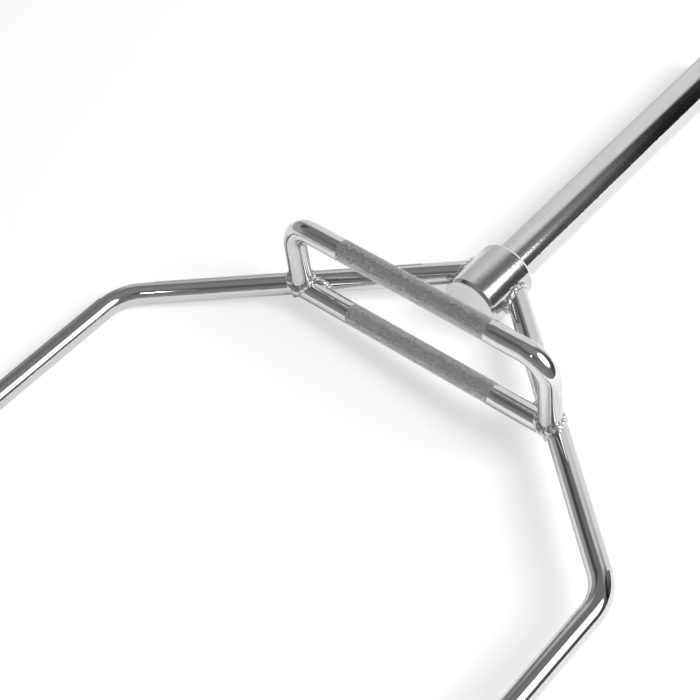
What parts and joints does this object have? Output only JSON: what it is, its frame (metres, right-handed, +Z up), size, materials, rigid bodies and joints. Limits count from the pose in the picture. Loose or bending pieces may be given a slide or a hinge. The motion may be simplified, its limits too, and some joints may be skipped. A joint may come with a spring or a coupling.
{
  "type": "hex trap bar",
  "caption": "Chromed walk-in hexagonal lifting bar: bent tube frame, low and raised knurled grips, and a plate sleeve on a collar at each end.",
  "frame": {"origin": "middle of the frame in plan, on the level where the two collars touch the floor", "axes": "+X along the sleeves, +Y across the frame to the rear rail, +Z up, with the raised grips on top"},
  "size_m": [1.879, 0.718, 0.152],
  "materials": {
    "rail": "bright chrome plate on bent tube",
    "collar": "chrome plate over fine turning marks, satin inner face",
    "sleeve": "bright chrome plate with fine lengthwise scratches",
    "cap": "bright chrome plate, turned face",
    "grip": "bright chrome plate with a fine diamond knurl in the middle",
    "weld": "chrome plate over weld beads"
  },
  "bodies": {
    "root": {"rear_rail": "rail", "front_rail": "rail", "right_collar": "collar", "right_sleeve": "sleeve", "right_sleeve_cap": "cap", "right_low_grip": "grip", "right_raised_grip": "grip", "right_rear_collar_weld": "weld", "right_rear_grip_weld": "weld", "right_rear_leg_weld": "weld", "right_front_collar_weld": "weld", "right_front_grip_weld": "weld", "right_front_leg_weld": "weld", "left_collar": "collar", "left_sleeve": "sleeve", "left_sleeve_cap": "cap", "left_low_grip": "grip", "left_raised_grip": "grip", "left_rear_collar_weld": "weld", "left_rear_grip_weld": "weld", "left_rear_leg_weld": "weld", "left_front_collar_weld": "weld", "left_front_grip_weld": "weld", "left_front_leg_weld": "weld"}
  },
  "joints": []
}
